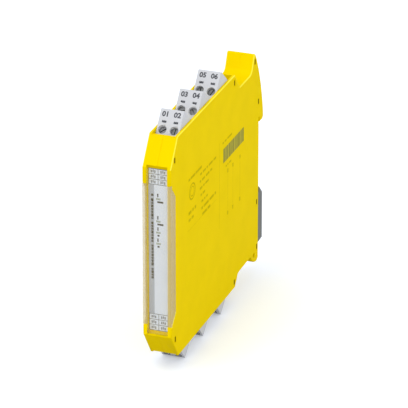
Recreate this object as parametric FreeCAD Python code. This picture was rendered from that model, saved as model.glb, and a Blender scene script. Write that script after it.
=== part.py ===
import FreeCAD, Part
import math
import os

# Slim DIN-rail safety relay module with six plug-in screw terminal blocks.
# Millimetres. +Z up, the front looks to -Y, +X is to the right seen from the front.
# Origin: middle of the rail seat, on the rear plane of the housing (y = 0).

os.makedirs("parts", exist_ok=True)

V = FreeCAD.Vector
X_AXIS = V(1, 0, 0)
Y_AXIS = V(0, 1, 0)
ORIGIN = V(0, 0, 0)

# ---- driving dimensions: housing ----
WIDTH = 12.5            # over both half shells
HOUSING_HEIGHT = 99.0   # top wall to bottom wall
BODY_DEPTH = 108.8      # front face to rail seat
HOOK_DEPTH = 5.7        # hook and foot behind the rail seat
WALL = 1.15             # side and rim walls
FRONT_WALL = 4.4        # thick front wall behind the cover
FACE_HEIGHT = 75.4      # flat front face
SLOPE_RUN = 8.4         # depth of the slanted shoulders
TOP_LAND = 0.7          # top wall behind the last plug
VALLEY_DROP = 8.0       # valley floor below the top wall
VALLEY_RUN = 6.4
VALLEY_END = 12.6       # valley floor to rail seat
EAR_FOOT_Y = 8.5
EAR_FOOT_DROP = 5.6
EAR_TIP_Y = 6.4
EAR_TIP_DROP = 0.9
EAR_BACK_Y = 4.7
EAR_BACK_DROP = 0.8
HOOK_START_Y = 3.1
HOOK_START_DROP = 3.2
HOOK_BULGE = 1.3        # rise of the arched back over its chord
VALLEY_BULGE = -0.85
EAR_BULGE = 0.55
LUG_CORNER_BULGE = 0.6
LUG_BULGE = 1.1
SEAT_RELIEF = 0.2       # rear wall beyond the rail seat lies deeper
HOOK_NOSE = 1.0         # chamfer at the hook tip
HOOK_NOSE_RISE = 0.6
LUG_LENGTH = 9.9        # rounded lug below the rail foot
LUG_RISE = 5.3
LUG_CORNER = 2.4
LUG_FLOOR_RISE = 0.3
LUG_STEP_START = 24.6
LUG_STEP_RISE = 5.1
LUG_STEP_END = 26.4
LUG_STEP_DROP = 4.7
BOTTOM_WALL_END = 1.7   # bottom wall behind the last plug
LUG_HOLE_D = 2.2
LUG_HOLE_Y = 5.9
LUG_HOLE_RISE = 4.6

# ---- driving dimensions: top hat rail ----
RAIL_HEIGHT = 35.0
RAIL_THICKNESS = 1.0
RAIL_OVERLAP = 2.2      # how far hook and foot reach over the rail edges
RAIL_PLAY = 0.3

# ---- driving dimensions: plugs ----
PLUG_COUNT = 3          # per side
PLUG_PITCH = 22.2
PLUG_GAP = 0.3          # between neighbouring plugs
PLUG_STAND = 6.6        # ridge above the housing wall
PLUG_SIDE_PLAY = 0.1    # plug to side wall
PLUG_FACE_ANGLE = 50.0  # screw face to horizontal, the wire face is at right angles
FIRST_RIDGE = 19.5      # front face to the ridge of the first plug
PLUG_SEAT_DEPTH = 15.0  # plug foot below the housing wall
BAY_RIB = 0.75
BAY_RIB_DROP = 5.0      # rib in front of the bay ends below the wall
BAY_MOUTH = 3.0
SILL_DROP = 0.7
SILL_DEPTH = 0.6
TERMINAL_PITCH = 5.1

# ---- driving dimensions: clamp ----
SCREW_OFFSET = 9.0      # ridge to screw axis, along the screw face
SCREW_HOLE_D = 3.7
SCREW_HEAD_D = 3.3
SCREW_HEAD_H = 1.4
SCREW_HEAD_DEPTH = 1.7  # head below the screw face
SCREW_THREAD_D = 2.4
SCREW_SLOT_W = 0.5
SCREW_SLOT_DEPTH = 0.7
THREAD_CLEARANCE = 0.08
LEDGE = 0.85            # web under the screw head
CAGE_WIDTH = 3.5
CAGE_LENGTH = 3.4
CAGE_PLATE = 1.0
CAGE_SIDE = 0.5
CAGE_PLAY = 0.15
CAGE_TRAVEL = 2.0
WIRE_GAP = 2.8          # open clamp
WIRE_ENTRY_W = 3.4
WIRE_ENTRY_H = 3.0
BAR_THICKNESS = 0.8
BAR_WIDTH = 1.8
TEST_SLOT_OFFSET = 5.7
TEST_SLOT_W = 1.9
TEST_SLOT_H = 0.7
TEST_SLOT_DEPTH = 1.5

# ---- driving dimensions: headers and board ----
HEADER_HEIGHT = 6.1
HEADER_PLAY = 0.1
PIN_SIZE = 0.8
PIN_REACH = 6.1         # pin above the header
PIN_OFFSET = 2.5        # pin in front of the ridge
PIN_PLAY = 0.15
PIN_DROPS = (2.8, 4.8)  # bend below the header, near pin and far pin
SOCKET_WALL = 0.45
BOARD_THICKNESS = 1.6
BOARD_STANDOFF = 0.5
BOARD_MARGIN = 1.6      # board edge below the header
BOARD_INSET = 0.2       # board edge behind the front wall
BOARD_REAR = 3.0        # board edge to rail seat
BOARD_STEP_REAR = 13.0  # rear edge where the board clears the foot
BOARD_STEP_Z = -12.0
HEADER_SEAT = 0.2       # header top below the plug foot
RIB = 1.0
BAY_SLACK = 0.15
POST_D = 3.0
POST_BITE = 0.3         # how far posts run into the walls
FRONT_POST_SETBACK = 4.5
POST_INSET = 3.5        # post below the board edge
REAR_POST_Y = 19.0      # from the board's rear edge
LOW_POST_Y = 12.5
LOW_POST_Z = -8.5

# ---- driving dimensions: components ----
RELAY_LENGTH = 28.0
RELAY_HEIGHT = 13.0
RELAY_SPACING = 6.0     # between the two relays
RELAY_SETBACK = 42.0    # from the board's front edge
RELAY_BASE = 0.4
RELAY_CHAMFER = 0.5
RELAY_WALL_GAP = 0.2
CORE_LENGTH = 10.0
CORE_HEIGHT = 16.0
CORE_LIFT = 1.0         # core above the board
CORE_THICKNESS = 6.0
CORE_LOW = -4.0
CORE_GAP = 3.0          # relay to core
BOBBIN_INSET = 1.4
BOBBIN_PROUD = 0.4
CHIP_SIZE = 7.0
CHIP_HEIGHT = 1.4
CHIP_SETBACK = 12.0
CHIP_SPREAD = 8.0       # middle plane to the outer chips
CHIP_STEP = 15.0
CAN_RADIUS = 3.2
CAN_HEIGHT = 7.4
CAN_SETBACK = 32.0
CAN_INSET = 10.1        # can axis below the board edge
CAN_LIFT = 4.2          # can axis above the core
LED_SIZE = 1.6
LED_HEIGHT = 1.1

# ---- driving dimensions: front cover, label, light guide ----
COVER_THICKNESS = 1.1
COVER_TONGUE_W = 8.8
COVER_TOP = 36.8
COVER_WIDE_TOP = 30.4
COVER_WIDE_BOTTOM = -32.8
COVER_FLANGE = 0.7
COVER_FLANGE_DEPTH = 5.3
COVER_FLANGE_TOP = 24.2
COVER_FLANGE_BOTTOM = -28.1
COVER_PLAY = 0.15
HINGE_Z = -36.4
HINGE_RADIUS = 0.95
HINGE_PIN_D = 1.2
HINGE_PIN_LENGTH = 0.9
HINGE_PIN_PLAY = 0.06
LABEL_DEPTH = 1.9       # label face behind the front plane
LABEL_THICKNESS = 0.3
LABEL_W = 8.4
LABEL_TOP = 36.0
LABEL_BOTTOM = -35.2
NAIL_SLOT_H = 1.8
NAIL_SLOT_DEPTH = 2.2
COVER_LIP = 0.6         # slant at the lower end of the flanges
LED_HEIGHTS = (23.4, 13.4, 8.4, 3.4)
GUIDE_W = 2.0
GUIDE_H = 0.9
GUIDE_PLAY = 0.1
GUIDE_BAR = 1.2
GUIDE_BAR_GAP = 0.3     # bar behind the front wall
GUIDE_BAR_END = 1.0     # bar past the outer fingers

# ---- driving dimensions: rail foot ----
FOOT_WIDTH = 12.0
FOOT_HEIGHT = 26.0
FOOT_TRAVEL = 3.5
FOOT_BEVEL = 3.9
FOOT_PLAY = 0.2
STEM_WIDTH = 4.8
STEM_DEPTH = 9.5
STEM_TOP = -22.7
STEM_HEIGHT = 11.5
CLAW_LAND = 0.6
CLAW_TOE = 0.4
TONGUE_DEPTH = 3.2
TONGUE_RISE = 3.2       # tongue end above the housing's bottom wall
PRY_SLOT_W = 2.6
PRY_SLOT_H = 1.4
PRY_SLOT_RISE = 1.2
TONGUE_SHAFT = 8.0      # open shaft for the tongue above the bottom wall
SPRING_LENGTH = 8.0
SPRING_WIDTH = 3.2
SPRING_STRIP = 0.35
SPRING_SWING = 1.9
SPRING_FOLDS = 5
SPRING_Y = -4.2
LEDGE_DEPTH = 2.8

# ---- driving dimensions: snap catches ----
FRONT_CATCH_Y = 4.7     # behind the front face
FRONT_CATCH_RISE = 2.6  # beyond the flat front face
TOP_CATCH_Y = 0.4       # before the end of the top wall
TOP_CATCH_DROP = 3.5
EAR_CATCH_Y = 5.3
EAR_CATCH_DROP = 3.9
HOOK_CATCH_Y = 0.6
HOOK_CATCH_RISE = 7.7   # above the rail slot
SEAT_CATCH_Y = 2.3
SEAT_CATCH_DROP = 3.1   # below the rail slot
LUG_CATCH_Y = 1.9
LUG_CATCH_DROP = 0.2    # below the spring ledge
BOTTOM_CATCH_Y = 1.0    # before the end of the bottom wall
BOTTOM_CATCH_RISE = 2.8
CATCH_W = 1.0
CATCH_H = 2.2
CATCH_PLAY = 0.25
CATCH_RECESS = 0.4

# ---- derived ----
half_w = WIDTH / 2
inner_x = half_w - WALL
wall_z = HOUSING_HEIGHT / 2
face_z = FACE_HEIGHT / 2
front_y = -BODY_DEPTH
cavity_front = front_y + FRONT_WALL + LABEL_DEPTH + LABEL_THICKNESS
rail_half = RAIL_HEIGHT / 2
hook_tip_z = rail_half - RAIL_OVERLAP + RAIL_PLAY / 2
slot_top_z = rail_half + RAIL_PLAY
slot_depth = RAIL_THICKNESS + RAIL_PLAY
seat_half = hook_tip_z - RAIL_PLAY / 2
relief_y = -SEAT_RELIEF

ridge_z = wall_z + PLUG_STAND
face_rad = math.radians(PLUG_FACE_ANGLE)
front_per_drop = 1 / math.tan(face_rad)
rear_per_drop = math.tan(face_rad)
ridge_drop = PLUG_PITCH / (front_per_drop + rear_per_drop)
plug_front = -ridge_drop * front_per_drop + PLUG_GAP / 2
plug_rear = ridge_drop * rear_per_drop - PLUG_GAP / 2
plug_floor = wall_z - PLUG_SEAT_DEPTH
ridge_ys = [front_y + FIRST_RIDGE + PLUG_PITCH * k for k in range(PLUG_COUNT)]
bay_front = front_y + SLOPE_RUN + WALL
bay_rear = ridge_ys[-1] + plug_rear + PLUG_GAP
plug_half = inner_x - PLUG_SIDE_PLAY
terminal_xs = (-TERMINAL_PITCH / 2, TERMINAL_PITCH / 2)

head_top = SCREW_HEAD_DEPTH
head_bottom = head_top + SCREW_HEAD_H
ledge_top = head_bottom + 0.05
cage_space_top = ledge_top + LEDGE
cage_top = cage_space_top + CAGE_PLAY + CAGE_TRAVEL
bar_top = cage_top + CAGE_PLATE + 0.2
bar_bottom = bar_top + BAR_THICKNESS
screw_tip = bar_top - 0.05
cage_window_bottom = bar_bottom + WIRE_GAP
cage_bottom = cage_window_bottom + CAGE_PLATE
wire_axis = bar_bottom + WIRE_GAP / 2
cage_x = CAGE_WIDTH / 2
cage_space_u = CAGE_LENGTH / 2 + CAGE_PLAY

header_top = plug_floor - HEADER_SEAT
header_bottom = header_top - HEADER_HEIGHT
pin_tip = header_top + PIN_REACH
socket_half = PIN_SIZE / 2 + PIN_PLAY + SOCKET_WALL
socket_top = pin_tip + 1.0
board_x0 = -inner_x + BOARD_STANDOFF
board_x1 = board_x0 + BOARD_THICKNESS
board_z = header_bottom - BOARD_MARGIN
board_front = cavity_front + BOARD_INSET
relay_y = board_front + RELAY_SETBACK
core_y = relay_y + RELAY_LENGTH + CORE_GAP
core_top = CORE_LOW + CORE_HEIGHT
top_wall_end = bay_rear + TOP_LAND
bottom_wall_end = bay_rear + BOTTOM_WALL_END

cover_back = front_y + COVER_THICKNESS
label_face = front_y + LABEL_DEPTH
label_back = label_face + LABEL_THICKNESS
hinge_y = front_y + HINGE_RADIUS
tongue_half = COVER_TONGUE_W / 2

foot_top = -(rail_half - RAIL_OVERLAP + RAIL_PLAY / 2)
foot_bottom = foot_top - FOOT_HEIGHT
foot_notch_z = -(rail_half + RAIL_PLAY)
stem_bottom = STEM_TOP - STEM_HEIGHT
stem_half = STEM_WIDTH / 2
tongue_back = -STEM_DEPTH + TONGUE_DEPTH
tongue_low = -wall_z + TONGUE_RISE
ledge_z = stem_bottom - SPRING_LENGTH
catch_places = ((front_y + FRONT_CATCH_Y, face_z + FRONT_CATCH_RISE),
                (front_y + FRONT_CATCH_Y, -face_z - FRONT_CATCH_RISE),
                (top_wall_end - TOP_CATCH_Y, wall_z - TOP_CATCH_DROP),
                (-EAR_CATCH_Y, wall_z - EAR_CATCH_DROP),
                (-HOOK_CATCH_Y, slot_top_z + HOOK_CATCH_RISE),
                (-SEAT_CATCH_Y, foot_notch_z - SEAT_CATCH_DROP),
                (-LUG_CATCH_Y, ledge_z - LUG_CATCH_DROP),
                (bottom_wall_end - BOTTOM_CATCH_Y, -wall_z + BOTTOM_CATCH_RISE))


def box(x0, x1, y0, y1, z0, z1):
    return Part.makeBox(x1 - x0, y1 - y0, z1 - z0, V(x0, y0, z0))


def prism(points, x0, x1):
    """Closed polygon of (y, z) points, extruded along X."""
    corners = [V(x0, y, z) for y, z in points]
    wire = Part.makePolygon(corners + corners[:1])
    return Part.Face(wire).extrude(V(x1 - x0, 0, 0))


def rod(radius, x0, x1, y, z):
    return Part.makeCylinder(radius, x1 - x0, V(x0, y, z), X_AXIS)


def fuse(shapes):
    return shapes[0].multiFuse(shapes[1:]).removeSplitter()


def export(name, shape):
    shape.exportStep("parts/%s.step" % name)


# ---------------------------------------------------------------- housing
def bulged(start, end, rise):
    """Middle point of an arc that rises to the left of its chord, seen along the path."""
    along = V(end[0] - start[0], end[1] - start[1], 0)
    side = V(-along.y, along.x, 0).normalize() * rise
    return ((start[0] + end[0]) / 2 + side.x, (start[1] + end[1]) / 2 + side.y)


def outline_wire():
    """Rim of the housing in the YZ plane: shoulders, plug walls, hook, rail seat and foot lug."""
    shoulder_y = front_y + SLOPE_RUN
    valley_z = wall_z - VALLEY_DROP
    valley_end = (-VALLEY_END, valley_z)
    ear_foot = (-EAR_FOOT_Y, wall_z - EAR_FOOT_DROP)
    ear_tip = (-EAR_TIP_Y, wall_z - EAR_TIP_DROP)
    ear_back = (-EAR_BACK_Y, wall_z - EAR_BACK_DROP)
    hook_start = (-HOOK_START_Y, wall_z - HOOK_START_DROP)
    hook_end = (HOOK_DEPTH, slot_top_z + HOOK_NOSE_RISE)
    lug_corner = (0, -wall_z + LUG_CORNER)
    lug_floor = (-LUG_CORNER, -wall_z + LUG_FLOOR_RISE)
    lug_end = (-LUG_LENGTH, -wall_z + LUG_RISE)
    path = [
        (front_y, -face_z),
        (front_y, face_z),
        (shoulder_y, wall_z),
        (top_wall_end, wall_z),
        (top_wall_end + VALLEY_RUN, valley_z),
        valley_end,
        bulged(valley_end, ear_foot, VALLEY_BULGE),
        ear_foot,
        ear_tip,
        bulged(ear_tip, ear_back, EAR_BULGE),
        ear_back,
        hook_start,
        bulged(hook_start, hook_end, HOOK_BULGE),
        hook_end,
        (HOOK_DEPTH, hook_tip_z + HOOK_NOSE),
        (HOOK_DEPTH - HOOK_NOSE, hook_tip_z),
        (slot_depth, hook_tip_z),
        (slot_depth, slot_top_z),
        (0, slot_top_z),
        lug_corner,
        bulged(lug_corner, lug_floor, LUG_CORNER_BULGE),
        lug_floor,
        bulged(lug_floor, lug_end, LUG_BULGE),
        lug_end,
        (-LUG_STEP_START, -wall_z + LUG_STEP_RISE),
        (-LUG_STEP_END, -wall_z + LUG_STEP_DROP),
        (bottom_wall_end, -wall_z),
        (shoulder_y, -wall_z),
    ]
    arc_middles = (6, 9, 12, 20, 22)
    edges = []
    for i in range(len(path)):
        here = V(0, *path[i])
        after = V(0, *path[(i + 1) % len(path)])
        if i in arc_middles:
            before = V(0, *path[i - 1])
            edges.append(Part.Arc(before, here, after).toShape())
        elif (i + 1) not in arc_middles:
            edges.append(Part.makeLine(here, after))
    return Part.Wire(edges)


def half_blank(side):
    face = Part.Face(outline_wire())
    return face, face.extrude(V(side * half_w, 0, 0))


def between(side, near, far, y0, y1, z0, z1):
    """Box on one side of the split, from |x| = near to |x| = far."""
    lo, hi = sorted((side * near, side * far))
    return box(lo, hi, y0, y1, z0, z1)


def catch_posts(play, x1):
    posts = []
    for y, z in catch_places:
        posts.append(box(-inner_x, x1, y - CATCH_W / 2 - play, y + CATCH_W / 2 + play,
                         z - CATCH_H / 2 - play, z + CATCH_H / 2 + play))
    return posts


def cover_space(play):
    """Room for the clear cover: a tongue between two cheeks and a full-width middle."""
    back = front_y + COVER_FLANGE_DEPTH + play
    flange = [(front_y - 1, COVER_WIDE_TOP + play), (front_y, COVER_WIDE_TOP + play),
              (back, COVER_FLANGE_TOP + play), (back, COVER_FLANGE_BOTTOM - play),
              (front_y + COVER_LIP, COVER_WIDE_BOTTOM - play), (front_y - 1, COVER_WIDE_BOTTOM - play)]
    side = half_w - COVER_FLANGE - play
    tongue = box(-tongue_half - play, tongue_half + play, front_y - 1, label_back,
                 -face_z + 0.05, COVER_TOP + play)
    middle = box(-half_w - 1, half_w + 1, front_y - 1, cover_back + play,
                 COVER_WIDE_BOTTOM - play, COVER_WIDE_TOP + play)
    left = prism(flange, -half_w - 1, -side)
    right = prism(flange, side, half_w + 1)
    nail = box(-tongue_half - play, tongue_half + play, front_y - 1, front_y + NAIL_SLOT_DEPTH,
               COVER_TOP, COVER_TOP + NAIL_SLOT_H)
    pins = rod(HINGE_PIN_D / 2 + HINGE_PIN_PLAY, -tongue_half - play - HINGE_PIN_LENGTH,
               tongue_half + play + HINGE_PIN_LENGTH, hinge_y, HINGE_Z)
    return fuse([tongue, middle, left, right, nail, pins])


def band(up, low, high):
    """Lower and upper z of a level range on the top (up = 1) or bottom (up = -1) side."""
    return sorted((up * low, up * high))


def shell_ribs(side):
    """Walls round the plug bays, header ledges and the ledge under the foot spring."""
    ribs = []
    rib_foot = header_bottom - RIB
    for up in (1, -1):
        z0, z1 = band(up, rib_foot, wall_z - BAY_RIB_DROP)
        ribs.append(between(side, 0, inner_x, bay_front - BAY_SLACK, bay_front + BAY_RIB, z0, z1))
        z0, z1 = band(up, rib_foot, wall_z)
        ribs.append(between(side, 0, inner_x, bay_rear, bay_rear + WALL, z0, z1))
        z0, z1 = band(up, rib_foot, header_bottom)
        ribs.append(between(side, inner_x - RIB, inner_x, bay_front, bay_rear, z0, z1))
    ribs.append(between(side, 0, inner_x, SPRING_Y - LEDGE_DEPTH / 2, SPRING_Y + LEDGE_DEPTH / 2,
                        ledge_z - RIB, ledge_z))
    return ribs


def shell_cuts():
    """Openings for plugs, cover, lamps, rail foot, the lug hole and the relief round the rail seat."""
    cuts = []
    cuts.append(box(-half_w - 1, half_w + 1, relief_y, 0, seat_half, slot_top_z))
    cuts.append(box(-half_w - 1, half_w + 1, relief_y, 1, -wall_z - 1, -seat_half))
    over = wall_z + 1
    for up in (1, -1):
        z0, z1 = band(up, wall_z - BAY_MOUTH, over)
        cuts.append(box(-inner_x, inner_x, bay_front, bay_rear, z0, z1))
        z0, z1 = band(up, wall_z - SILL_DROP, over)
        cuts.append(box(-inner_x, inner_x, bay_front - WALL - SILL_DEPTH, bay_front + BAY_SLACK,
                        z0, z1))
    cuts.append(cover_space(COVER_PLAY))
    half_guide = GUIDE_W / 2 + GUIDE_PLAY
    half_slot = GUIDE_H / 2 + GUIDE_PLAY
    for z in LED_HEIGHTS:
        cuts.append(box(-half_guide, half_guide, front_y, cavity_front + WALL,
                        z - half_slot, z + half_slot))
    half_stem = stem_half + FOOT_PLAY
    cuts.append(box(-half_stem, half_stem, -WALL - HOOK_NOSE, 1,
                    stem_bottom - FOOT_TRAVEL - FOOT_PLAY, STEM_TOP + FOOT_PLAY))
    cuts.append(box(-half_stem, half_stem, -STEM_DEPTH - FOOT_PLAY, tongue_back + FOOT_PLAY,
                    -wall_z - 1, -wall_z + TONGUE_SHAFT))
    cuts.append(rod(LUG_HOLE_D / 2, -half_w - 1, half_w + 1, -LUG_HOLE_Y, -wall_z + LUG_HOLE_RISE))
    return cuts


def shell(side):
    """Half shell: an open tray with its ribs; the right one has the windows, the left one the posts."""
    face, blank = half_blank(side)
    cavity_face = face.makeOffset2D(-WALL, join=2)
    cavity = cavity_face.extrude(V(side * inner_x, 0, 0))
    cavity = cavity.cut(box(-half_w, half_w, front_y - 1, cavity_front, -wall_z, wall_z))
    body = blank.cut(cavity)
    body = body.fuse([rib.common(blank) for rib in shell_ribs(side)])
    body = body.cut(shell_cuts())
    if side > 0:
        posts = [rod(POST_D / 2, board_x1, inner_x + POST_BITE, y, z) for y, z in post_places()]
        body = body.fuse(posts)
        body = body.cut(catch_posts(CATCH_PLAY, half_w + 1))
    else:
        pads = [rod(POST_D / 2, -inner_x - POST_BITE, board_x0, y, z) for y, z in post_places()]
        body = body.fuse(pads + catch_posts(0, half_w - CATCH_RECESS))
    return body.removeSplitter()


def post_places():
    """Posts that clamp the board: two behind the front wall, two towards the rear."""
    front = cavity_front + FRONT_POST_SETBACK
    high = board_z - POST_INSET
    return ((front, high), (front, -high), (-BOARD_REAR - REAR_POST_Y, high),
            (-BOARD_REAR - LOW_POST_Y, LOW_POST_Z))


# ---------------------------------------------------------------- front
def front_cover():
    side = half_w - COVER_FLANGE
    back = front_y + COVER_FLANGE_DEPTH
    flange = [(front_y, COVER_WIDE_TOP), (back, COVER_FLANGE_TOP), (back, COVER_FLANGE_BOTTOM),
              (front_y + COVER_LIP, COVER_WIDE_BOTTOM), (front_y, COVER_WIDE_BOTTOM)]
    tongue = box(-tongue_half, tongue_half, front_y, cover_back, HINGE_Z, COVER_TOP)
    middle = box(-half_w, half_w, front_y, cover_back, COVER_WIDE_BOTTOM, COVER_WIDE_TOP)
    barrel = rod(HINGE_RADIUS, -tongue_half, tongue_half, hinge_y, HINGE_Z)
    pins = rod(HINGE_PIN_D / 2, -tongue_half - HINGE_PIN_LENGTH, tongue_half + HINGE_PIN_LENGTH,
               hinge_y, HINGE_Z)
    return fuse([tongue, middle, prism(flange, -half_w, -side), prism(flange, side, half_w),
                 barrel, pins])


def label_strip():
    strip = box(-LABEL_W / 2, LABEL_W / 2, label_face, label_back, LABEL_BOTTOM, LABEL_TOP)
    windows = [box(-GUIDE_W / 2, GUIDE_W / 2, label_face - 1, label_back + 1,
                   z - GUIDE_H / 2, z + GUIDE_H / 2) for z in LED_HEIGHTS]
    return strip.cut(windows)


def light_guide():
    bar_front = cavity_front + GUIDE_BAR_GAP
    bar = box(board_x1 + LED_HEIGHT, GUIDE_W / 2, bar_front, bar_front + GUIDE_BAR,
              LED_HEIGHTS[-1] - GUIDE_BAR_END, LED_HEIGHTS[0] + GUIDE_BAR_END)
    fingers = [box(-GUIDE_W / 2, GUIDE_W / 2, label_face, bar_front,
                   z - GUIDE_H / 2, z + GUIDE_H / 2) for z in LED_HEIGHTS]
    return fuse([bar] + fingers)


def status_leds():
    lamp_y = cavity_front + GUIDE_BAR_GAP
    return Part.makeCompound([box(board_x1, board_x1 + LED_HEIGHT, lamp_y, lamp_y + LED_SIZE,
                                  z - LED_SIZE / 2, z + LED_SIZE / 2) for z in LED_HEIGHTS])


# ---------------------------------------------------------------- board
def circuit_board():
    points = [(board_front, -board_z), (board_front, board_z), (-BOARD_REAR, board_z),
              (-BOARD_REAR, BOARD_STEP_Z), (-BOARD_STEP_REAR, BOARD_STEP_Z),
              (-BOARD_STEP_REAR, -board_z)]
    return prism(points, board_x0, board_x1)


def relay_case(up):
    """Sealed relay: a case over a slightly smaller base that stands on the board."""
    z_mid = up * (RELAY_HEIGHT + RELAY_SPACING) / 2
    top = inner_x - RELAY_WALL_GAP
    half = RELAY_HEIGHT / 2
    case = box(board_x1 + RELAY_BASE, top, relay_y, relay_y + RELAY_LENGTH, z_mid - half, z_mid + half)
    case = case.makeChamfer(RELAY_CHAMFER, [e for e in case.Edges if e.BoundBox.XMin > top - 0.1])
    base = box(board_x1, board_x1 + RELAY_BASE, relay_y + RELAY_BASE,
               relay_y + RELAY_LENGTH - RELAY_BASE, z_mid - half + RELAY_BASE,
               z_mid + half - RELAY_BASE)
    return fuse([case, base])


def transformer():
    core = box(board_x1 + CORE_LIFT, board_x1 + CORE_LIFT + CORE_THICKNESS, core_y,
               core_y + CORE_LENGTH, CORE_LOW, core_top)
    bobbin = box(board_x1, board_x1 + CORE_LIFT + CORE_THICKNESS + BOBBIN_PROUD,
                 core_y + BOBBIN_INSET, core_y + CORE_LENGTH - BOBBIN_INSET,
                 CORE_LOW + BOBBIN_INSET, core_top - BOBBIN_INSET)
    return fuse([core, bobbin])


def control_chips():
    first = board_front + CHIP_SETBACK
    places = ((first, CHIP_SPREAD), (first, -CHIP_SPREAD - CHIP_SIZE),
              (first + CHIP_STEP, -CHIP_SIZE / 2))
    return Part.makeCompound([box(board_x1, board_x1 + CHIP_HEIGHT, y, y + CHIP_SIZE,
                                  z, z + CHIP_SIZE) for y, z in places])


def capacitors():
    front = board_front + CAN_SETBACK
    level = board_z - CAN_INSET
    places = ((front, level), (front, -level), (core_y + CORE_LENGTH / 2, core_top + CAN_LIFT))
    return Part.makeCompound([rod(CAN_RADIUS, board_x1, board_x1 + CAN_HEIGHT, y, z)
                              for y, z in places])


# ---------------------------------------------------------------- terminal plugs
# A plug is drawn round its ridge. In its own axes y runs down the screw face
# and z runs down the wire face; tilt() lays these axes into the housing.
def tilt(shape):
    return shape.rotated(ORIGIN, X_AXIS, PLUG_FACE_ANGLE - 180)


def plug_body():
    low = plug_floor - ridge_z
    profile = [(0, 0), (plug_rear, -plug_rear / rear_per_drop), (plug_rear, low),
               (plug_front, low), (plug_front, plug_front / front_per_drop)]
    block = prism(profile, -plug_half, plug_half)
    ridge = [e for e in block.Edges if abs(e.BoundBox.ZMin) < 1e-6 and abs(e.BoundBox.ZMax) < 1e-6
             and e.BoundBox.XLength > 1]
    block = block.makeFillet(0.5, ridge)
    cuts = []
    for x in terminal_xs:
        cuts.append(tilt(Part.makeCylinder(SCREW_HOLE_D / 2, ledge_top + 1,
                                           V(x, SCREW_OFFSET, -1), V(0, 0, 1))))
        cuts.append(tilt(Part.makeCylinder(SCREW_THREAD_D / 2 + THREAD_CLEARANCE, cage_space_top + 1,
                                           V(x, SCREW_OFFSET, -1), V(0, 0, 1))))
        cuts.append(tilt(box(x - cage_x - CAGE_PLAY, x + cage_x + CAGE_PLAY,
                             SCREW_OFFSET - cage_space_u, SCREW_OFFSET + cage_space_u,
                             cage_space_top, cage_bottom + CAGE_PLAY)))
        cuts.append(tilt(box(x - WIRE_ENTRY_W / 2, x + WIRE_ENTRY_W / 2, -1, SCREW_OFFSET,
                             wire_axis - WIRE_ENTRY_H / 2, wire_axis + WIRE_ENTRY_H / 2)))
        cuts.append(tilt(box(x - TEST_SLOT_W / 2, x + TEST_SLOT_W / 2,
                             TEST_SLOT_OFFSET - TEST_SLOT_H / 2, TEST_SLOT_OFFSET + TEST_SLOT_H / 2,
                             -1, TEST_SLOT_DEPTH)))
        cuts.append(tilt(box(x - BAR_WIDTH / 2 - 0.1, x + BAR_WIDTH / 2 + 0.1, SCREW_OFFSET,
                             SCREW_OFFSET + 4.6, bar_top - 0.1, bar_bottom + 0.1)))
        half = socket_half + 0.1
        cuts.append(box(x - half, x + half, -PIN_OFFSET - half, -PIN_OFFSET + half,
                        low - 1, socket_top - ridge_z + 0.1))
    return block.cut(cuts)


def contact_bars():
    low = plug_floor - ridge_z + 0.4
    bars = []
    for x in terminal_xs:
        bar = tilt(box(x - BAR_WIDTH / 2, x + BAR_WIDTH / 2, SCREW_OFFSET - CAGE_LENGTH / 2,
                       SCREW_OFFSET + 4.5, bar_top, bar_bottom))
        sleeve = box(x - socket_half, x + socket_half, -PIN_OFFSET - socket_half,
                     -PIN_OFFSET + socket_half, low, socket_top - ridge_z)
        hole = PIN_SIZE / 2 + PIN_PLAY
        bore = box(x - hole, x + hole, -PIN_OFFSET - hole, -PIN_OFFSET + hole,
                   low - 1, pin_tip - ridge_z + 0.3)
        bars.append(bar.fuse(sleeve).cut(bore).removeSplitter())
    return Part.makeCompound(bars)


def terminal_screw(x):
    head = Part.makeCylinder(SCREW_HEAD_D / 2, SCREW_HEAD_H, V(x, SCREW_OFFSET, head_top))
    slot = box(x - SCREW_HEAD_D, x + SCREW_HEAD_D, SCREW_OFFSET - SCREW_SLOT_W / 2,
               SCREW_OFFSET + SCREW_SLOT_W / 2, head_top - 1, head_top + SCREW_SLOT_DEPTH)
    shank = Part.makeCylinder(SCREW_THREAD_D / 2, screw_tip - head_bottom,
                              V(x, SCREW_OFFSET, head_bottom))
    return tilt(head.cut(slot).fuse(shank).removeSplitter())


def clamp_cage(x):
    frame = box(x - cage_x, x + cage_x, SCREW_OFFSET - CAGE_LENGTH / 2,
                SCREW_OFFSET + CAGE_LENGTH / 2, cage_top, cage_bottom)
    window = box(x - cage_x + CAGE_SIDE, x + cage_x - CAGE_SIDE, 0, 2 * SCREW_OFFSET,
                 cage_top + CAGE_PLATE, cage_window_bottom)
    thread = Part.makeCylinder(SCREW_THREAD_D / 2 + THREAD_CLEARANCE, CAGE_PLATE + 2,
                               V(x, SCREW_OFFSET, cage_top - 1))
    return tilt(frame.cut([window, thread]))


def header_body():
    block = box(-inner_x + HEADER_PLAY, inner_x - HEADER_PLAY, plug_front, plug_rear,
                header_bottom - ridge_z, header_top - ridge_z)
    half = PIN_SIZE / 2
    holes = [box(x - half, x + half, -PIN_OFFSET - half, -PIN_OFFSET + half, -50, 0)
             for x in terminal_xs]
    return block.cut(holes)


def header_pins(board_face):
    """Two bent pins: each leaves the header downwards and turns into the board."""
    half = PIN_SIZE / 2
    pins = []
    by_distance = sorted(terminal_xs, key=lambda x: abs(x - board_face))
    for x, drop in zip(by_distance, PIN_DROPS):
        foot_z = header_bottom - ridge_z - drop
        stem = box(x - half, x + half, -PIN_OFFSET - half, -PIN_OFFSET + half,
                   foot_z, pin_tip - ridge_z)
        leg_x0, leg_x1 = sorted((board_face, x + math.copysign(half, -board_face)))
        leg = box(leg_x0, leg_x1, -PIN_OFFSET - half, -PIN_OFFSET + half,
                  foot_z, foot_z + PIN_SIZE)
        pins.append(fuse([stem, leg]))
    return pins


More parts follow.
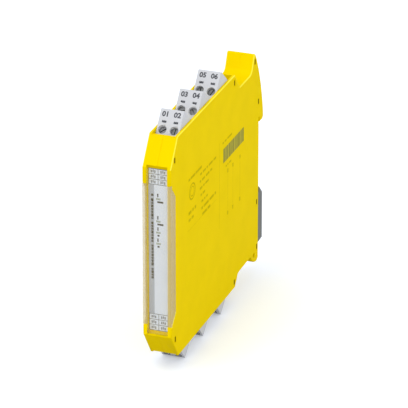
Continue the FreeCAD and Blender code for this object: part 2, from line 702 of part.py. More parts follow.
def seat(shape, k, side):
    """Move a piece from the ridge axes to plug place k on the top or bottom of the housing."""
    placed = shape.translated(V(0, ridge_ys[k], ridge_z))
    if side == "bottom":
        placed = placed.rotated(ORIGIN, Y_AXIS, 180)
    return placed


# ---------------------------------------------------------------- rail foot
def rail_foot():
    """Claw behind the rail edge, a stem through the rear wall and a tongue to pull it down by."""
    claw_front = relief_y + FOOT_PLAY
    claw = [(claw_front, foot_notch_z), (slot_depth, foot_notch_z), (slot_depth, foot_top),
            (slot_depth + CLAW_LAND, foot_top), (HOOK_DEPTH, foot_top - FOOT_BEVEL),
            (HOOK_DEPTH, foot_bottom + CLAW_TOE), (claw_front, foot_bottom)]
    block = prism(claw, -FOOT_WIDTH / 2, FOOT_WIDTH / 2)
    stem = box(-stem_half, stem_half, -STEM_DEPTH, claw_front, stem_bottom, STEM_TOP)
    tongue = box(-stem_half, stem_half, -STEM_DEPTH, tongue_back, tongue_low, stem_bottom)
    slot_low = tongue_low + PRY_SLOT_RISE
    pry_slot = box(-PRY_SLOT_W / 2, PRY_SLOT_W / 2, -STEM_DEPTH - 1, tongue_back + 1,
                   slot_low, slot_low + PRY_SLOT_H)
    return fuse([block, stem, tongue]).cut(pry_slot)


def foot_spring():
    """Folded strip spring between the foot and its ledge in the housing."""
    step = (SPRING_LENGTH - SPRING_STRIP) / SPRING_FOLDS
    swing = SPRING_SWING / 2
    legs = []
    for i in range(SPRING_FOLDS + 1):
        z = ledge_z + step * i
        legs.append(box(-SPRING_WIDTH / 2, SPRING_WIDTH / 2, SPRING_Y - swing, SPRING_Y + swing,
                        z, z + SPRING_STRIP))
    for i in range(SPRING_FOLDS):
        z = ledge_z + step * i
        y = SPRING_Y + swing if i % 2 else SPRING_Y - swing
        legs.append(box(-SPRING_WIDTH / 2, SPRING_WIDTH / 2, y - SPRING_STRIP / 2,
                        y + SPRING_STRIP / 2, z, z + step + SPRING_STRIP))
    return fuse(legs)


# ---------------------------------------------------------------- all nodes
export("left_shell", shell(-1))
export("right_shell", shell(1))
export("front_cover", front_cover())
export("label_strip", label_strip())
export("light_guide", light_guide())
export("status_leds", status_leds())
export("circuit_board", circuit_board())
export("relay_upper", relay_case(1))
export("relay_lower", relay_case(-1))
export("transformer", transformer())
export("control_chips", control_chips())
export("capacitors", capacitors())
export("rail_foot", rail_foot())
export("foot_spring", foot_spring())

for side in ("top", "bottom"):
    all_pins = []
    for k in range(PLUG_COUNT):
        tag = "%s_%d" % (side, k + 1)
        export("plug_" + tag, seat(plug_body(), k, side))
        export("contacts_" + tag, seat(contact_bars(), k, side))
        export("header_" + tag, seat(header_body(), k, side))
        for letter, x in zip("ab", terminal_xs):
            export("screw_%s%s" % (tag, letter), seat(terminal_screw(x), k, side))
            export("cage_%s%s" % (tag, letter), seat(clamp_cage(x), k, side))
        board_face = board_x1 if side == "top" else -board_x1
        all_pins += [seat(pin, k, side) for pin in header_pins(board_face)]
    export("header_pins_" + side, Part.makeCompound(all_pins))
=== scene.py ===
import math

import bmesh
import bpy
from mathutils import Matrix, Vector


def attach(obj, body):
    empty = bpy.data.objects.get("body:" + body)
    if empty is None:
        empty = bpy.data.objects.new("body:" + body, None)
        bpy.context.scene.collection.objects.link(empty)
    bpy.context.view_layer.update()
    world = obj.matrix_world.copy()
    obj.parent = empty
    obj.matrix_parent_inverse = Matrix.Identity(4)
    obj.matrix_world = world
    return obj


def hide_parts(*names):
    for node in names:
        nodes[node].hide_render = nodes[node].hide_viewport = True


MM = 0.001

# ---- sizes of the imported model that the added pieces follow, in millimetres ----
HALF_W = 6.25
LABEL_FACE_Y = -106.9
LABEL_HALF_W = 4.2
LED_HEIGHTS = (23.4, 13.4, 8.4, 3.4)
RIDGE_Z = 56.1           # ridge of each plug, where its two faces meet
RIDGE_YS = (-89.3, -67.1, -44.9)
FACE_ANGLE = math.radians(50)
SCREW_OFFSET = 9.0       # from the ridge down the screw face
TERMINAL_XS = (-2.55, 2.55)

# ---- sizes of the added pieces, in millimetres ----
RIM_WIDTH = 0.4          # rounding of the rim of a side face
SEAM_WIDTH = 0.2         # rounding on either side of the seam between the half shells
FOOT_EDGE = 0.3
PLUG_EDGE = 0.15
PRINT_SINK = 0.01        # print reaches this far into its face
PRINT_HEIGHT = 0.02      # and stands this far out of it
CATCH_END = HALF_W - 0.45   # the catch posts end farther out than this
CATCH_SHADE_FLOOR = HALF_W - 0.1  # the painted shade in the gap round a catch hook ends here, under the side face
CATCH_PLAY = 0.04
FLOOR_Z = -56.2

SHARP_ANGLE = math.radians(28)
SMOOTH_ANGLE = math.radians(35)

# ---- camera ----
CAMERA_AZIMUTH = math.radians(19.9)
CAMERA_ELEVATION = math.radians(24.2)
CAMERA_DISTANCE = 1700.0
CAMERA_AIM = (0.97, -55.0, -0.6)
PIXELS_PER_MM = 2.38
FRAME_PIXELS = 408
SENSOR = 36.0

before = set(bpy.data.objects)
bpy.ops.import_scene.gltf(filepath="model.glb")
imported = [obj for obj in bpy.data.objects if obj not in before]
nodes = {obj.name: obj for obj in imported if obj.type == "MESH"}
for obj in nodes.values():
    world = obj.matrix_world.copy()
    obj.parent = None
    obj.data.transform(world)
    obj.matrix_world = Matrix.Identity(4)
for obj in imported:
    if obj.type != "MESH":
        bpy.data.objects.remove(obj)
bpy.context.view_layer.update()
scene = bpy.context.scene


# ---------------------------------------------------------------- materials
def linear(rgb):
    """Display colour, 0 to 255, as scene-linear."""
    out = []
    for value in rgb:
        v = value / 255
        out.append(v / 12.92 if v <= 0.04045 else ((v + 0.055) / 1.055) ** 2.4)
    return tuple(out) + (1.0,)


def shaded(name, rgb, rough=0.5, metallic=0.0, specular=0.3, mottle=0.04, grain=0.35,
           bump=0.15, alpha=1.0, patch=9.0):
    """Moulded or plated surface: soft patches of colour, a fine grain in gloss and relief."""
    mat = bpy.data.materials.new(name)
    mat.use_nodes = True
    tree = mat.node_tree
    tree.nodes.clear()
    new = tree.nodes.new
    link = tree.links.new
    out = new("ShaderNodeOutputMaterial")
    bsdf = new("ShaderNodeBsdfPrincipled")
    coords = new("ShaderNodeTexCoord")
    soft = new("ShaderNodeTexNoise")
    soft.inputs["Scale"].default_value = 1 / (patch * MM)
    soft.inputs["Detail"].default_value = 3
    fine = new("ShaderNodeTexNoise")
    fine.inputs["Scale"].default_value = 1 / (grain * MM)
    fine.inputs["Detail"].default_value = 2
    ramp = new("ShaderNodeMapRange")
    ramp.inputs["From Min"].default_value = 0.3
    ramp.inputs["From Max"].default_value = 0.7
    mix = new("ShaderNodeMix")
    mix.data_type = "RGBA"
    colour = linear(rgb)
    mix.inputs["A"].default_value = tuple(c * (1 - mottle) for c in colour[:3]) + (1.0,)
    mix.inputs["B"].default_value = tuple(min(1, c * (1 + mottle)) for c in colour[:3]) + (1.0,)
    gloss = new("ShaderNodeMapRange")
    gloss.inputs["To Min"].default_value = max(0.02, rough - 0.07)
    gloss.inputs["To Max"].default_value = min(1.0, rough + 0.07)
    relief = new("ShaderNodeBump")
    relief.inputs["Strength"].default_value = bump
    relief.inputs["Distance"].default_value = 0.02 * MM
    link(coords.outputs["Object"], soft.inputs["Vector"])
    link(coords.outputs["Object"], fine.inputs["Vector"])
    link(soft.outputs["Fac"], ramp.inputs["Value"])
    link(ramp.outputs["Result"], mix.inputs["Factor"])
    link(mix.outputs["Result"], bsdf.inputs["Base Color"])
    link(fine.outputs["Fac"], gloss.inputs["Value"])
    link(gloss.outputs["Result"], bsdf.inputs["Roughness"])
    link(fine.outputs["Fac"], relief.inputs["Height"])
    link(relief.outputs["Normal"], bsdf.inputs["Normal"])
    bsdf.inputs["Metallic"].default_value = metallic
    bsdf.inputs["Specular IOR Level"].default_value = specular
    bsdf.inputs["Alpha"].default_value = alpha
    link(bsdf.outputs["BSDF"], out.inputs["Surface"])
    return mat


# where the painted highlight goes on the rounded upper side rims
HIGHLIGHT_FROM_X = 5.5         # the side rims lie farther out than this
HIGHLIGHT_LEAN = (0.2, 0.96)   # x of the normals on a rounded rim, and on no flat face
HIGHLIGHT_LIFT = 0.12          # z of the normals of the rims that look up


def painted_rim_highlight(mat, rgb):
    """Painted highlight on the rounded upper rims of the side faces, where the light catches: a paler
    colour is mixed into the base colour there.
    """
    tree = mat.node_tree
    new = tree.nodes.new
    link = tree.links.new

    def maths(operation, first, second=0.0):
        node = new("ShaderNodeMath")
        node.operation = operation
        link(first, node.inputs[0])
        if isinstance(second, float):
            node.inputs[1].default_value = second
        else:
            link(second, node.inputs[1])
        return node.outputs["Value"]

    where = new("ShaderNodeNewGeometry")
    facing = new("ShaderNodeSeparateXYZ")
    place = new("ShaderNodeSeparateXYZ")
    link(where.outputs["True Normal"], facing.inputs["Vector"])
    link(where.outputs["Position"], place.inputs["Vector"])
    lean = maths("ABSOLUTE", facing.outputs["X"])
    outward = maths("ABSOLUTE", place.outputs["X"])
    slanted = maths("MULTIPLY", maths("GREATER_THAN", lean, HIGHLIGHT_LEAN[0]),
                    maths("LESS_THAN", lean, HIGHLIGHT_LEAN[1]))
    upper = maths("MULTIPLY", slanted, maths("GREATER_THAN", facing.outputs["Z"], HIGHLIGHT_LIFT))
    rim_highlight = maths("MULTIPLY", upper, maths("GREATER_THAN", outward, HIGHLIGHT_FROM_X * MM))
    bsdf = tree.nodes["Principled BSDF"]
    mix = new("ShaderNodeMix")
    mix.data_type = "RGBA"
    link(rim_highlight, mix.inputs["Factor"])
    link(bsdf.inputs["Base Color"].links[0].from_socket, mix.inputs["A"])
    mix.inputs["B"].default_value = linear(rgb)
    link(mix.outputs["Result"], bsdf.inputs["Base Color"])


YELLOW = shaded("housing_yellow", (243, 213, 0), rough=0.5, specular=0.006, mottle=0.02)
# painted highlight along the upper side rims, a paler yellow
painted_rim_highlight(YELLOW, (255, 240, 70))
PLUG_GREY = shaded("plug_grey", (204, 206, 211), rough=0.55, specular=0.2, mottle=0.02)
FOOT_GREY = shaded("foot_grey", (110, 112, 109), rough=0.6, specular=0.2, mottle=0.05)
LABEL = shaded("label_film", (228, 237, 252), rough=0.5, specular=0.2, mottle=0.02, bump=0.05)
LABEL_EDGE = shaded("label_edge_grey", (182, 190, 204), rough=0.5, specular=0.2, mottle=0.03,
                    bump=0.05)
LABEL_INK = shaded("label_ink", (62, 64, 70), rough=0.6, mottle=0.06)
LABEL_SOFT = shaded("label_soft_ink", (140, 146, 158), rough=0.6, mottle=0.06)
LABEL_LINE = shaded("label_line", (132, 138, 146), rough=0.6, mottle=0.06)
SIDE_INK = shaded("side_ink", (222, 193, 0), rough=0.6, specular=0.006, mottle=0.1, patch=1.5)
SIDE_DARK = shaded("side_dark_ink", (206, 179, 2), rough=0.6, specular=0.006, mottle=0.1, patch=1.5)
BAR_INK = shaded("bar_ink", (190, 178, 72), rough=0.6, specular=0.006, mottle=0.05, patch=1.5)
BAR_DARK = shaded("bar_dark_ink", (154, 148, 64), rough=0.6, specular=0.006, mottle=0.05, patch=1.5)
# painted shade for the gaps in the catch windows
CATCH_PAINTED_SHADE = shaded("catch_painted_shade", (86, 62, 0), rough=0.7, specular=0.01, mottle=0.05, patch=0.6)
MARK_INK = shaded("mark_ink", (74, 76, 82), rough=0.6, mottle=0.05, patch=1.0)
GUIDE = shaded("light_guide_clear", (214, 226, 220), rough=0.2, specular=0.5, alpha=0.6)
LED = shaded("led_green", (150, 205, 120), rough=0.3, specular=0.5)
BOARD = shaded("board_green", (30, 98, 54), rough=0.4, specular=0.4, mottle=0.12, patch=3.0)
CASE = shaded("relay_case_white", (226, 226, 214), rough=0.35, specular=0.4)
CORE = shaded("core_steel", (88, 84, 80), rough=0.5, metallic=0.6, mottle=0.15, patch=1.0)
CHIP = shaded("chip_black", (28, 28, 30), rough=0.5, specular=0.3)
CAN = shaded("can_aluminium", (196, 198, 202), rough=0.3, metallic=0.9)
SPRING = shaded("spring_steel", (186, 188, 190), rough=0.3, metallic=1.0)
TIN = shaded("tinned_contact", (206, 202, 186), rough=0.3, metallic=0.9)
HEADER = shaded("header_black", (34, 34, 36), rough=0.55, specular=0.3)
# zinc grey, made darker than the bare metal by painted shade of the wells the screws sit in
ZINC = shaded("zinc_screw", (122, 123, 124), rough=0.45, metallic=0.6, mottle=0.12, patch=1.2)
CAGE = shaded("zinc_cage", (180, 180, 176), rough=0.35, metallic=0.9, mottle=0.1, patch=1.5)

CLEAR = shaded("clear_cover", (220, 202, 138), rough=0.14, specular=0.5, mottle=0.01,
               grain=2.0, bump=0.03)


BAND_BLEND = 0.1         # the clear window fades into the side bands over this, each way


def frosted_outside(mat, half_width, clear, frosted):
    """Clear window between its two side bands, which are thicker and duller."""
    tree = mat.node_tree
    new = tree.nodes.new
    link = tree.links.new
    coords = new("ShaderNodeTexCoord")
    split = new("ShaderNodeSeparateXYZ")
    size = new("ShaderNodeMath")
    size.operation = "ABSOLUTE"
    band = new("ShaderNodeMapRange")
    band.inputs["From Min"].default_value = (half_width - BAND_BLEND) * MM
    band.inputs["From Max"].default_value = (half_width + BAND_BLEND) * MM
    band.inputs["To Min"].default_value = clear
    band.inputs["To Max"].default_value = frosted
    link(coords.outputs["Object"], split.inputs["Vector"])
    link(split.outputs["X"], size.inputs[0])
    link(size.outputs["Value"], band.inputs["Value"])
    link(band.outputs["Result"], tree.nodes["Principled BSDF"].inputs["Alpha"])


frosted_outside(CLEAR, LABEL_HALF_W + 0.3, 0.08, 0.46)

NODE_MATERIALS = (
    ("left_shell", YELLOW), ("right_shell", YELLOW), ("front_cover", CLEAR), ("label_strip", LABEL),
    ("light_guide", GUIDE), ("status_leds", LED), ("circuit_board", BOARD), ("relay_", CASE),
    ("transformer", CORE), ("control_chips", CHIP), ("capacitors", CAN), ("rail_foot", FOOT_GREY),
    ("foot_spring", SPRING), ("plug_", PLUG_GREY), ("contacts_", TIN), ("header_pins", TIN),
    ("header_", HEADER), ("screw_", ZINC), ("cage_", CAGE),
)


def material_of(node_name):
    for start, mat in NODE_MATERIALS:
        if node_name.startswith(start):
            return mat
    raise KeyError(node_name)


for node_name, node in nodes.items():
    if not node.material_slots:
        node.data.materials.append(None)
    for place in node.material_slots:
        place.material = material_of(node_name)


# ---------------------------------------------------------------- mesh helpers
def new_object(name, mesh, mat):
    obj = bpy.data.objects.new(name, mesh)
    scene.collection.objects.link(obj)
    obj.data.materials.clear()
    obj.data.materials.append(mat)
    return obj


def add_box(bm, low, high, matrix=Matrix.Identity(4)):
    """Closed box between two corners in millimetres."""
    size = [h - l for l, h in zip(low, high)]
    middle = [(h + l) / 2 for l, h in zip(low, high)]
    place = matrix @ Matrix.Translation(Vector(middle) * MM) @ Matrix.Diagonal(
        Vector([s * MM for s in size] + [1]))
    bmesh.ops.create_cube(bm, size=1, matrix=place)


def finish_mesh(bm, name, mat):
    mesh = bpy.data.meshes.new(name)
    bm.to_mesh(mesh)
    bm.free()
    return new_object(name, mesh, mat)


def housing_boxes(name, corners, mat):
    """One piece on the housing, from (low, high) corners of boxes in millimetres."""
    bm = bmesh.new()
    for low, high in corners:
        add_box(bm, low, high)
    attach(finish_mesh(bm, name, mat), "housing")


def smooth_faces(obj):
    obj.data.shade_smooth()
    obj.data.set_sharp_from_angle(angle=SMOOTH_ANGLE)


def plug_places():
    """Each plug's place: side, number along the row, and the tag in the nodes' names."""
    for side in ("top", "bottom"):
        for k in range(len(RIDGE_YS)):
            yield side, k, "%s_%d" % (side, k + 1)


def sharp_edges(bm, shortest=0.7):
    sharp = []
    for edge in bm.edges:
        if len(edge.link_faces) == 2 and edge.calc_length() > shortest * MM:
            if edge.calc_face_angle(0) > SHARP_ANGLE:
                sharp.append(edge)
    return sharp


def side_rim(bm):
    """The closed run of sharp edges round the outer side face, without its windows."""
    outside = set()
    for edge in sharp_edges(bm, 0):
        if min(abs(v.co.x) for v in edge.verts) > (HALF_W - 0.05) * MM:
            outside.add(edge)
    run = [max(outside, key=lambda edge: edge.calc_length())]
    kept = set(run)
    while run:
        edge = run.pop()
        for vert in edge.verts:
            for other in vert.link_edges:
                if other in outside and other not in kept:
                    kept.add(other)
                    run.append(other)
    return [edge for edge in bm.edges if edge in kept]   # in the mesh's order, the same each run


def front_seam(bm):
    """Edges of the split plane on the slanted fronts, where the half shells meet."""
    seam = []
    for edge in sharp_edges(bm, 3.0):
        if max(abs(v.co.x) for v in edge.verts) < 0.01 * MM:
            for face in edge.link_faces:
                if face.normal.y < -0.3 and abs(face.normal.z) > 0.3:
                    seam.append(edge)
    return seam


def softened(name, node_name, body, width, pick=sharp_edges, seam_width=0):
    """The node's own form with its sharp edges rounded, as a moulding has them."""
    bm = bmesh.new()
    bm.from_mesh(nodes[node_name].data)
    bmesh.ops.remove_doubles(bm, verts=bm.verts, dist=0.002 * MM)
    bmesh.ops.dissolve_limit(bm, angle_limit=math.radians(0.5), verts=bm.verts, edges=bm.edges)
    bmesh.ops.bevel(bm, geom=pick(bm), offset=width * MM, segments=2, profile=0.5, affect="EDGES",
                    clamp_overlap=False)
    if seam_width:
        # the second rounding keeps the order of the faces the same each run on a fresh mesh alone
        halfway = bpy.data.meshes.new("halfway")
        bm.to_mesh(halfway)
        bm.clear()
        bm.from_mesh(halfway)
        bpy.data.meshes.remove(halfway)
        bm.normal_update()
        bmesh.ops.bevel(bm, geom=front_seam(bm), offset=seam_width * MM, segments=1, profile=0.5,
                        affect="EDGES", clamp_overlap=False)
    obj = finish_mesh(bm, name, material_of(node_name))
    smooth_faces(obj)
    weighted = obj.modifiers.new("weighted", "WEIGHTED_NORMAL")
    weighted.keep_sharp = True
    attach(obj, body)
    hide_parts(node_name)


def seat_matrix(k, side):
    """From a plug's ridge axes to plug place k on the top or bottom."""
    place = Matrix.Translation(Vector((0, RIDGE_YS[k], RIDGE_Z)) * MM)
    if side == "bottom":
        place = Matrix.Rotation(math.pi, 4, "Y") @ place
    return place


def face_matrix(x, down):
    """Axes on the screw face: x across, y towards the ridge, z outward."""
    up = Vector((0, math.cos(FACE_ANGLE), math.sin(FACE_ANGLE)))
    out = Vector((0, -math.sin(FACE_ANGLE), math.cos(FACE_ANGLE)))
    spot = Vector((x, 0, 0)) * MM - up * down * MM
    basis = Matrix((Vector((1, 0, 0)), up, out)).transposed().to_4x4()
    return Matrix.Translation(spot) @ basis


# ---------------------------------------------------------------- mouldings
softened("housing_left", "left_shell", "housing", RIM_WIDTH, side_rim, SEAM_WIDTH)
softened("housing_right", "right_shell", "housing", RIM_WIDTH, side_rim, SEAM_WIDTH)
softened("foot_moulding", "rail_foot", "rail_foot", FOOT_EDGE)
for side, k, tag in plug_places():
    softened("terminal_block_" + tag, "plug_" + tag, "plug_" + tag, PLUG_EDGE)


def turned_screw(node_name, seat, x, angle):
    """The node's screw with its slot turned, as screws stand after wiring."""
    bm = bmesh.new()
    bm.from_mesh(nodes[node_name].data)
    face = seat @ face_matrix(x, SCREW_OFFSET)
    bm.transform(face @ Matrix.Rotation(math.radians(angle), 4, "Z") @ face.inverted())
    obj = finish_mesh(bm, node_name + "_head", ZINC)
    smooth_faces(obj)
    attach(obj, node_name)
    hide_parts(node_name)


SLOT_ANGLES = (38, 84, 12, -52, 97, 63, 25, -18, 71, 140, -40, 55)
angles = iter(SLOT_ANGLES)
for side, k, tag in plug_places():
    for letter, x in zip("ab", TERMINAL_XS):
        turned_screw("screw_" + tag + letter, seat_matrix(k, side), x, next(angles))


# ---------------------------------------------------------------- catch windows
# dark plates on the ends of the catch posts: painted shade in the window gaps round the hooks
spots = []
for vert in nodes["left_shell"].data.vertices:
    if vert.co.x > CATCH_END * MM:
        near = [group for group in spots if (group[0] - vert.co).length < 3 * MM]
        if near:
            near[0].append(vert.co)
        else:
            spots.append([vert.co])
shade_plates = []
for group in spots:
    low = [min(co[i] for co in group) / MM for i in range(3)]
    high = [max(co[i] for co in group) / MM for i in range(3)]
    shade_plates.append(((low[0] - PRINT_HEIGHT, low[1] + CATCH_PLAY, low[2] + CATCH_PLAY),
                 (CATCH_SHADE_FLOOR, high[1] - CATCH_PLAY, high[2] - CATCH_PLAY)))
housing_boxes("catch_hook_painted_shade", shade_plates, CATCH_PAINTED_SHADE)


# ---------------------------------------------------------------- terminal numbers
NUMBER_DOWN = 2.4        # from the ridge down the screw face
NUMBER_HEIGHT = 3.0
NUMBER_STROKE = 0.12     # the digits are thickened by this, each way
CLAMP_MARK_DOWN = 5.4
CLAMP_MARK_HALF = 0.3
CLAMP_MARK_TOP = 0.012
CLAMP_MARK_BARS = ((-0.85, -0.3), (-0.15, 0.35), (0.5, 0.95))


def number_mesh(text, height):
    curve = bpy.data.curves.new("number", "FONT")
    curve.body = text
    curve.size = height * MM
    curve.align_x = "CENTER"
    curve.align_y = "CENTER"
    curve.extrude = PRINT_SINK * MM
    curve.offset = NUMBER_STROKE * MM
    curve.resolution_u = 3
    holder = bpy.data.objects.new("number", curve)
    scene.collection.objects.link(holder)
    graph = bpy.context.evaluated_depsgraph_get()
    mesh = bpy.data.meshes.new_from_object(holder.evaluated_get(graph))
    bpy.data.objects.remove(holder)
    bpy.data.curves.remove(curve)
    return mesh


number = 0
for side, k, tag in plug_places():
    for letter, x in zip("ab", TERMINAL_XS):
        number += 1
        mesh = number_mesh("%02d" % number, NUMBER_HEIGHT)
        mesh.transform(seat_matrix(k, side) @ face_matrix(x, NUMBER_DOWN))
        obj = new_object("number_%s%s" % (tag, letter), mesh, MARK_INK)
        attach(obj, "plug_" + tag)
        bm = bmesh.new()
        for start, end in CLAMP_MARK_BARS:
            add_box(bm, (start, -CLAMP_MARK_HALF, -PRINT_SINK), (end, CLAMP_MARK_HALF, CLAMP_MARK_TOP),
                    seat_matrix(k, side) @ face_matrix(x, CLAMP_MARK_DOWN))
        obj = finish_mesh(bm, "clamp_mark_%s%s" % (tag, letter), MARK_INK)
        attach(obj, "plug_" + tag)


# ---------------------------------------------------------------- label print
def label_bars(name, boxes, mat):
    """Flat printed fields on the label: (x0, x1, z0, z1) in millimetres."""
    front = LABEL_FACE_Y - PRINT_HEIGHT
    back = LABEL_FACE_Y + PRINT_SINK
    housing_boxes(name, [((x0, front, z0), (x1, back, z1)) for x0, x1, z0, z1 in boxes], mat)


GRIDS = ((36.7, 2.3), (-28.62, 2.45))   # top line and row height of each marker grid
GRID_ROWS = 3
GRID_HALF_W = 4.15
GRID_LINES_X = (-4.05, 0.0, 4.05)
GRID_LINE_HALF = 0.14
GRID_UPRIGHT_HALF = 0.12
CELL_XS = (-2.1, 2.1)
CELL_MARKS = ((-1.1, -0.5, 0.0), (-0.3, 0.2, 0.15), (0.4, 1.0, -0.1))   # start, end, shift
STRIP_X = -1.8           # right edge of the grey strip on the label
FILM_ENDS = ((-36.05, -35.15), (35.95, 36.75))   # the printed film runs on past the strip
FILM_THICKNESS = 0.25
for name, (low, high) in zip(("label_lower_end", "label_upper_end"), FILM_ENDS):
    housing_boxes(name, [((-LABEL_HALF_W, LABEL_FACE_Y, low),
                          (LABEL_HALF_W, LABEL_FACE_Y + FILM_THICKNESS, high))], LABEL)
strip_top = GRIDS[0][0] - GRID_ROWS * GRIDS[0][1]
label_bars("label_grey_strip", [(-LABEL_HALF_W, STRIP_X, GRIDS[1][0], strip_top)], LABEL_EDGE)
grid = []
cell_marks = []
for top, row_height in GRIDS:
    for row in range(GRID_ROWS + 1):
        z = top - row * row_height
        grid.append((-GRID_HALF_W, GRID_HALF_W, z - GRID_LINE_HALF, z + GRID_LINE_HALF))
    for x in GRID_LINES_X:
        grid.append((x - GRID_UPRIGHT_HALF, x + GRID_UPRIGHT_HALF, top - GRID_ROWS * row_height, top))
    for row in range(GRID_ROWS):
        for x in CELL_XS:
            z = top - (row + 0.5) * row_height
            for start, end, shift in CELL_MARKS:
                cell_marks.append((x + start, x + end, z - 0.6 + shift, z + 0.55 + shift))
label_bars("marker_grid", grid, LABEL_LINE)
label_bars("marker_cell_marks", cell_marks, LABEL_SOFT)

# a tick over and a short bar under each status lamp, then a column of bars down the grey strip
marks = []
for z in LED_HEIGHTS:
    marks.append((-0.45, 0.1, z + 0.9, z + 2.4))
    marks.append((-0.4, 2.2 if z > 10 else 0.5, z - 1.7, z - 0.9))
z = 25.5
step = 0
while z > -13.0:
    length = (0.9, 1.3, 0.7, 1.1, 0.8)[step % 5]
    marks.append((-3.05, -2.1, z - length, z))
    z -= length + (0.4 if step % 7 else 1.2)
    step += 1
label_bars("label_marks", marks, LABEL_INK)


# ---------------------------------------------------------------- side print
def side_bars(name, boxes, mat, height=PRINT_HEIGHT):
    """Flat printed fields on the right side: (y0, y1, z0, z1) in millimetres."""
    inner = HALF_W - PRINT_SINK
    outer = HALF_W + height
    housing_boxes(name, [((inner, y0, z0), (outer, y1, z1)) for y0, y1, z0, z1 in boxes], mat)


def word_row(start, z, words, height=1.0, gap=1.1):
    """A row of plain bars standing where a line of small print stood."""
    row = []
    for word in words:
        row.append((start, start + word, z - height / 2, z + height / 2))
        start += word + gap
    return row


small = word_row(-88.0, 24.6, (2.2, 5.0, 7.4), 1.1, 0.6)
small += word_row(-74.0, 21.6, (2.2, 3.4, 1.5, 4.8, 3.0))
small += word_row(-74.5, 18.4, (1.6, 3.6, 4.2, 2.4))
small += word_row(-74.5, 15.2, (3.2, 1.4, 3.8))
small += word_row(-73.5, 12.0, (1.4, 2.8))
small += word_row(-72.5, 8.8, (2.2, 1.4, 1.8))
small += word_row(-72.5, 5.6, (1.6, 6.0, 5.2, 1.6), 1.2)
small += word_row(-71.5, 2.6, (5.4, 3.2), 1.2)
small += word_row(-88.0, 9.6, (3.4, 1.6, 1.8), 1.4)
small += word_row(-88.0, 6.4, (2.4, 2.6), 1.2)
small += word_row(-46.5, 24.4, (1.4, 2.4, 5.6), 0.9)
small += word_row(-42.5, 12.4, (1.2, 0.9, 2.6), 0.8)
side_bars("side_small_print", small, SIDE_DARK)

LEADER_YS = (-39.9, -33.5, -24.5)   # three upright lines with a dot at each end
faint = [(-89.0, -54.0, 1.95, 2.1), (-50.6, -50.3, -13.0, 26.0)]
for y in LEADER_YS:
    faint.append((y - 0.12, y + 0.12, -8.6, 8.2))
side_bars("side_fine_lines", faint, SIDE_INK)

dots = []
for y in LEADER_YS:
    for z in (9.5, -10.0):
        dots.append((y - 0.55, y + 0.55, z - 0.9, z + 0.9))
side_bars("side_terminal_dots", dots, SIDE_DARK)

FIELD = (-45.6, -20.0, 15.0, 21.4)   # a plain striped field
STRIPE_HEIGHT = 0.03     # the stripes stand over the field
side_bars("side_field", [FIELD], BAR_INK)
stripes = []
y = FIELD[0]
step = 0
while y < FIELD[1] - 1.0:
    width = (1.9, 0.8, 1.4, 2.2, 1.0)[step % 5]
    stripes.append((y, y + width, FIELD[2], FIELD[3]))
    y += width + (0.9, 0.6, 1.3)[step % 3]
    step += 1
side_bars("side_field_stripes", stripes, BAR_DARK, STRIPE_HEIGHT)

RING_CENTRE = (-83.6, 18.2)
RINGS = ((3.4, 0.34), (2.1, 0.24))   # radius and half the line's width
RING_STEPS = 40
bm = bmesh.new()
for i in range(RING_STEPS):
    for radius, half in RINGS:
        a0 = 2 * math.pi * i / RING_STEPS
        a1 = 2 * math.pi * (i + 1) / RING_STEPS
        corners = []
        for angle, r in ((a0, radius - half), (a0, radius + half),
                         (a1, radius + half), (a1, radius - half)):
            spot = (HALF_W + PRINT_HEIGHT, RING_CENTRE[0] + r * math.cos(angle),
                    RING_CENTRE[1] + r * math.sin(angle))
            corners.append(bm.verts.new(Vector(spot) * MM))
        bm.faces.new(corners)
obj = finish_mesh(bm, "side_rings", SIDE_DARK)
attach(obj, "housing")

# ---------------------------------------------------------------- stage, light, camera
FLOOR_REACH = 4.0        # metres
floor_mesh = bpy.data.meshes.new("floor")
floor_corners = ((-1, -1), (1, -1), (1, 1), (-1, 1))
floor_mesh.from_pydata([(x * FLOOR_REACH, y * FLOOR_REACH, FLOOR_Z * MM) for x, y in floor_corners],
                       [], [(0, 1, 2, 3)])
FLOOR = shaded("floor_pale", (192, 193, 196), rough=0.9, specular=0.0, mottle=0.0, bump=0.0)
FLOOR_SEEN = (0.86, 0.91, 1.0, 1.0)
FLOOR_LIFT = 0.21


def seen_white(mat, colour, lift):
    """What the camera and mirrors see of the floor: whiter than what lights the part."""
    tree = mat.node_tree
    new = tree.nodes.new
    link = tree.links.new
    path = new("ShaderNodeLightPath")
    direct = new("ShaderNodeMath")
    direct.operation = "MAXIMUM"
    any_seen = new("ShaderNodeMath")
    any_seen.operation = "MAXIMUM"
    paper = new("ShaderNodeBsdfDiffuse")
    paper.inputs["Color"].default_value = colour
    glow = new("ShaderNodeEmission")
    glow.inputs["Strength"].default_value = lift
    total = new("ShaderNodeAddShader")
    mix = new("ShaderNodeMixShader")
    link(path.outputs["Is Camera Ray"], direct.inputs[0])
    link(path.outputs["Is Glossy Ray"], direct.inputs[1])
    link(direct.outputs["Value"], any_seen.inputs[0])
    link(path.outputs["Is Transmission Ray"], any_seen.inputs[1])
    link(paper.outputs["BSDF"], total.inputs[0])
    link(glow.outputs["Emission"], total.inputs[1])
    link(any_seen.outputs["Value"], mix.inputs[0])
    link(tree.nodes["Principled BSDF"].outputs["BSDF"], mix.inputs[1])
    link(total.outputs["Shader"], mix.inputs[2])
    link(mix.outputs["Shader"], tree.nodes["Material Output"].inputs["Surface"])


seen_white(FLOOR, FLOOR_SEEN, FLOOR_LIFT)
floor = new_object("floor", floor_mesh, FLOOR)

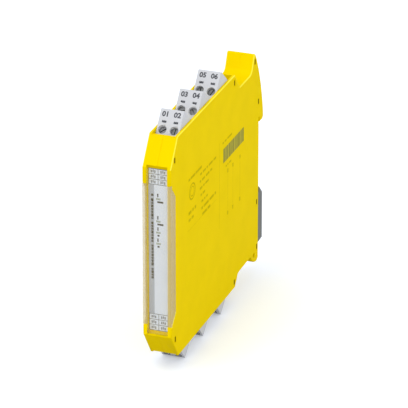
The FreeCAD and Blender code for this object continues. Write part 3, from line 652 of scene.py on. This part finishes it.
ROOM_LIGHT = 0.9
world = bpy.data.worlds.new("studio")
world.use_nodes = True
tree = world.node_tree
background = tree.nodes["Background"]
background.inputs["Color"].default_value = (1, 1, 1, 1)
path = tree.nodes.new("ShaderNodeLightPath")
seen = tree.nodes.new("ShaderNodeMapRange")
seen.inputs["To Min"].default_value = ROOM_LIGHT
seen.inputs["To Max"].default_value = 1.0
tree.links.new(path.outputs["Is Camera Ray"], seen.inputs["Value"])
tree.links.new(seen.outputs["Result"], background.inputs["Strength"])
scene.world = world


LIGHT_TARGET = (0, -0.055, 0)


def area_light(name, spot, size, energy):
    """Round lamp at a spot in metres, turned to the middle of the part."""
    data = bpy.data.lights.new(name, "AREA")
    data.shape = "DISK"
    data.size = size
    data.energy = energy
    obj = bpy.data.objects.new(name, data)
    scene.collection.objects.link(obj)
    obj.location = spot
    obj.rotation_euler = (Vector(LIGHT_TARGET) - Vector(spot)).to_track_quat("-Z", "Y").to_euler()


area_light("key", (-0.7, -1.1, 1.7), 1.8, 11.0)
area_light("side", (1.8, -0.6, 0.7), 1.6, 7.0)
area_light("low_front", (0.25, -1.1, 0.0), 0.5, 1.2)

scene.view_settings.view_transform = "Standard"

camera_data = bpy.data.cameras.new("camera")
camera_data.sensor_width = SENSOR
camera_data.lens = PIXELS_PER_MM * CAMERA_DISTANCE * SENSOR / FRAME_PIXELS
camera_data.clip_start = 0.05
camera_data.clip_end = 20
camera = bpy.data.objects.new("camera", camera_data)
scene.collection.objects.link(camera)
back = Vector((math.sin(CAMERA_AZIMUTH) * math.cos(CAMERA_ELEVATION),
               -math.cos(CAMERA_AZIMUTH) * math.cos(CAMERA_ELEVATION),
               math.sin(CAMERA_ELEVATION)))
turn = back.to_track_quat("Z", "Y")
right = turn @ Vector((1, 0, 0))
up = turn @ Vector((0, 1, 0))
aim = Vector((0, CAMERA_AIM[1], 0)) + right * CAMERA_AIM[0] + up * CAMERA_AIM[2]
camera.location = (aim + back * CAMERA_DISTANCE) * MM
camera.rotation_euler = turn.to_euler()
scene.camera = camera
